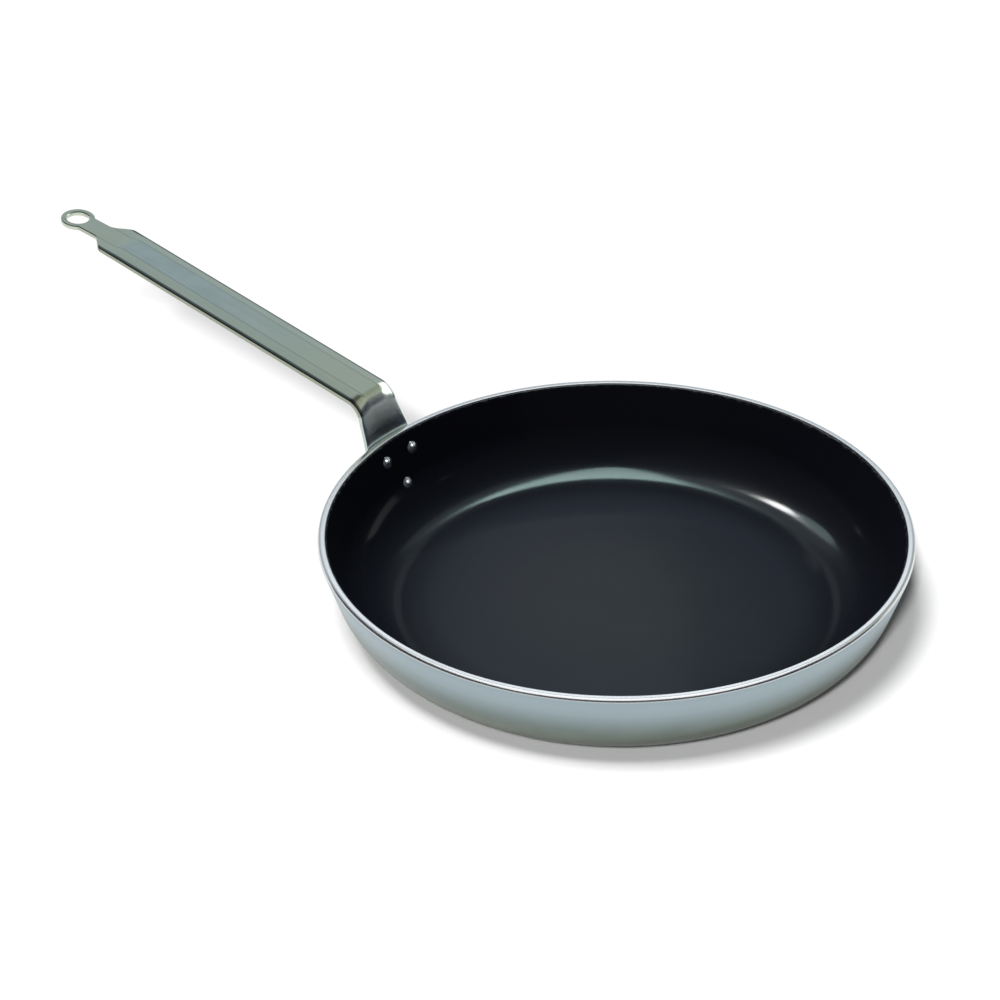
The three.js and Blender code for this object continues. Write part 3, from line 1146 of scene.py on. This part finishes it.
RIVETS = ("set_rivet_upper_left", "set_rivet_upper_right", "set_rivet_lower")
METAL = ("bowl", "strip_handle", *RIVETS)

# Name, place, width and height in metres, tone, and the pieces that show the card if not all do.
CARDS = (
    ("camera_flag", (0, -2.4, 1.2), (7.0, 3.4), (0.10, 0.10, 0.10)),
    ("ceiling_flag", (0, -0.75, 2.3), (7.0, 3.4), (0.08, 0.08, 0.08)),
    ("left_flag", (-2.4, -0.3, 1.5), (5.0, 3.6), (0.06, 0.06, 0.06)),
    ("right_flag", (2.4, -0.9, 0.6), (3.4, 2.0), (0.035, 0.035, 0.065)),
    ("right_card", (2.2, 1.2, 2.0), (3.2, 2.4), (0.36, 0.39, 0.34), *METAL),
    ("back_card", (0, 2.4, 1.9), (8.0, 4.6), (0.47, 0.53, 0.57), *METAL),
)

# Name, shape, place, width and height in metres, watts, colour, and the pieces that the box lights.
SOFT_BOXES = (
    ("coating_box", "RECTANGLE", (0, 1.89, 2.36), (1.9, 2.7), 14, (0.82, 0.93, 1.0), "coating"),
    ("middle_box", "ELLIPSE", (0.04, 2.44, 1.77), (0.42, 0.60), 0.28, (0.9, 0.95, 1.0), "coating"),
    ("corner_box", "ELLIPSE", (0.06, 0.66, 1.21), (0.24, 0.80), 12, (0.70, 1.0, 0.97), "coating"),
    ("corner_spot", "ELLIPSE", (-0.41, 0.73, 1.19), (0.22, 0.15), 9, (1.0, 1.0, 1.0), "coating"),
    ("corner_side_box", "ELLIPSE", (-0.53, 0.87, 1.09), (0.34, 0.40), 2.2, (0.74, 1.0, 0.98), "coating"),
    ("rivet_box", "ELLIPSE", (1.21, -0.21, 0.89), (0.40, 0.40), 3.5, (1.0, 1.0, 1.0), *RIVETS),
    ("bend_box", "RECTANGLE", (0.33, 0.46, 0.22), (0.53, 0.22), 1.3, (1.0, 1.0, 1.0), "strip_handle"),
    ("bend_side_box", "RECTANGLE", (0.56, -0.04, 0.78), (0.50, 0.75), 0.45, (1.0, 1.0, 0.8), "strip_handle"),
    ("rim_box", "RECTANGLE", (0, -0.2, 2.0), (3.0, 2.6), 27, (1.0, 1.0, 1.0), "bowl"),
    ("front_rim_box", "RECTANGLE", (0, 1.58, 1.26), (1.2, 0.30), 0.9, (1.0, 1.0, 1.0), "bowl"),
)


class PAN_OT_stage(bpy.types.Operator):
    """Lay the pale floor, light the pan softly and set the camera to the photograph's view"""

    bl_idname = "pan.stage"
    bl_label = "Stage"

    def execute(self, context):
        stage = settings()[3]
        self.lay_floor(stage)
        self.light_world(stage)
        front = even_light(
            "front_light",
            stage,
            place=(-0.16, -0.75, 0.64),
            strength=2.1,
            spread=math.radians(6),
        )
        front.light_linking.receiver_collection = gathered("front_floor", "floor")
        overhead = even_light(
            "overhead_light",
            stage,
            place=(-0.22, -0.28, 0.935),
            strength=2.65,
            spread=math.radians(18),
        )
        overhead.light_linking.blocker_collection = gathered("bowl_shadow", "bowl")
        for card in CARDS:
            reflector(stage, *card)
        for box in SOFT_BOXES:
            soft_box(stage, *box)
        self.set_camera(stage)
        context.scene.view_settings.view_transform = "Standard"
        return {"FINISHED"}

    def set_camera(self, stage):
        """Sets the camera where the photograph was taken from."""
        camera = bpy.data.cameras.new("photo_view")
        camera.sensor_width = SENSOR_WIDTH
        camera.lens = camera.sensor_width / 2 / math.tan(stage.picture_angle / 2)
        eye = bpy.data.objects.new("photo_view", camera)
        back = view_axes(stage)[2]
        eye.location = Vector(stage.aim) + back * stage.distance
        eye.rotation_mode = "QUATERNION"
        roll = Matrix.Rotation(stage.roll, 3, "Z").to_quaternion()
        eye.rotation_quaternion = (-back).to_track_quat("-Z", "Y") @ roll
        bpy.context.scene.collection.objects.link(eye)
        bpy.context.scene.camera = eye

    def lay_floor(self, stage):
        """Lays a matt floor, which glows a little where it is seen."""
        bm = bmesh.new()
        bmesh.ops.create_grid(bm, x_segments=1, y_segments=1, size=FLOOR_HALF)
        mesh = bpy.data.meshes.new("floor")
        bm.to_mesh(mesh)
        bm.free()
        material = bpy.data.materials.new("pale_floor")
        material.use_nodes = True
        tree = material.node_tree
        tree.nodes.clear()
        matt = tree.nodes.new("ShaderNodeBsdfDiffuse")
        matt.inputs["Color"].default_value = rgba(stage.floor)
        glow = tree.nodes.new("ShaderNodeEmission")
        dimmer = tree.nodes.new("ShaderNodeMath")
        dimmer.operation = "MULTIPLY"
        dimmer.inputs[1].default_value = FLOOR_GLOW
        tree.links.new(seen_directly(tree), dimmer.inputs[0])
        tree.links.new(dimmer.outputs[0], glow.inputs["Strength"])
        both = tree.nodes.new("ShaderNodeAddShader")
        tree.links.new(matt.outputs[0], both.inputs[0])
        tree.links.new(glow.outputs[0], both.inputs[1])
        out = tree.nodes.new("ShaderNodeOutputMaterial")
        tree.links.new(both.outputs[0], out.inputs["Surface"])
        mesh.materials.append(material)
        floor = bpy.data.objects.new("floor", mesh)
        bpy.context.scene.collection.objects.link(floor)

    def light_world(self, stage):
        """Makes the background white where it is seen, and a dim even light elsewhere."""
        world = bpy.data.worlds.new("studio")
        bpy.context.scene.world = world
        world.use_nodes = True
        tree = world.node_tree
        background = tree.nodes["Background"]
        background.inputs["Color"].default_value = (1, 1, 1, 1)
        level = tree.nodes.new("ShaderNodeMapRange")
        level.inputs["To Min"].default_value = stage.ambient
        tree.links.new(seen_directly(tree), level.inputs["Value"])
        tree.links.new(level.outputs["Result"], background.inputs["Strength"])


class VIEW3D_PT_frying_pan(bpy.types.Panel):
    """Settings and steps of the frying pan"""

    bl_label = "Frying pan"
    bl_space_type = "VIEW_3D"
    bl_region_type = "UI"
    bl_category = "Pan"

    def draw(self, context):
        for group in settings():
            box = self.layout.box()
            for name in group.bl_rna.properties.keys():
                if name not in {"rna_type", "name"}:
                    box.prop(group, name)
        for step in STEPS:
            self.layout.operator(step.bl_idname)


GROUPS = {
    "pan_bowl": BowlSizes,
    "pan_handle": HandleSizes,
    "pan_finishes": Finishes,
    "pan_stage": StageSettings,
}
STEPS = (PAN_OT_bowl, PAN_OT_coating, PAN_OT_handle, PAN_OT_rivets, PAN_OT_stage)
CLASSES = (*GROUPS.values(), *STEPS, VIEW3D_PT_frying_pan)


def register():
    for cls in CLASSES:
        bpy.utils.register_class(cls)
    for name, group in GROUPS.items():
        setattr(bpy.types.Scene, name, PointerProperty(type=group))


def unregister():
    for name in GROUPS:
        delattr(bpy.types.Scene, name)
    for cls in reversed(CLASSES):
        bpy.utils.unregister_class(cls)


def main():
    register()
    bpy.ops.pan.bowl()
    bpy.ops.pan.coating()
    bpy.ops.pan.handle()
    bpy.ops.pan.rivets()
    bpy.ops.pan.stage()


if __name__ == "__main__":
    main()
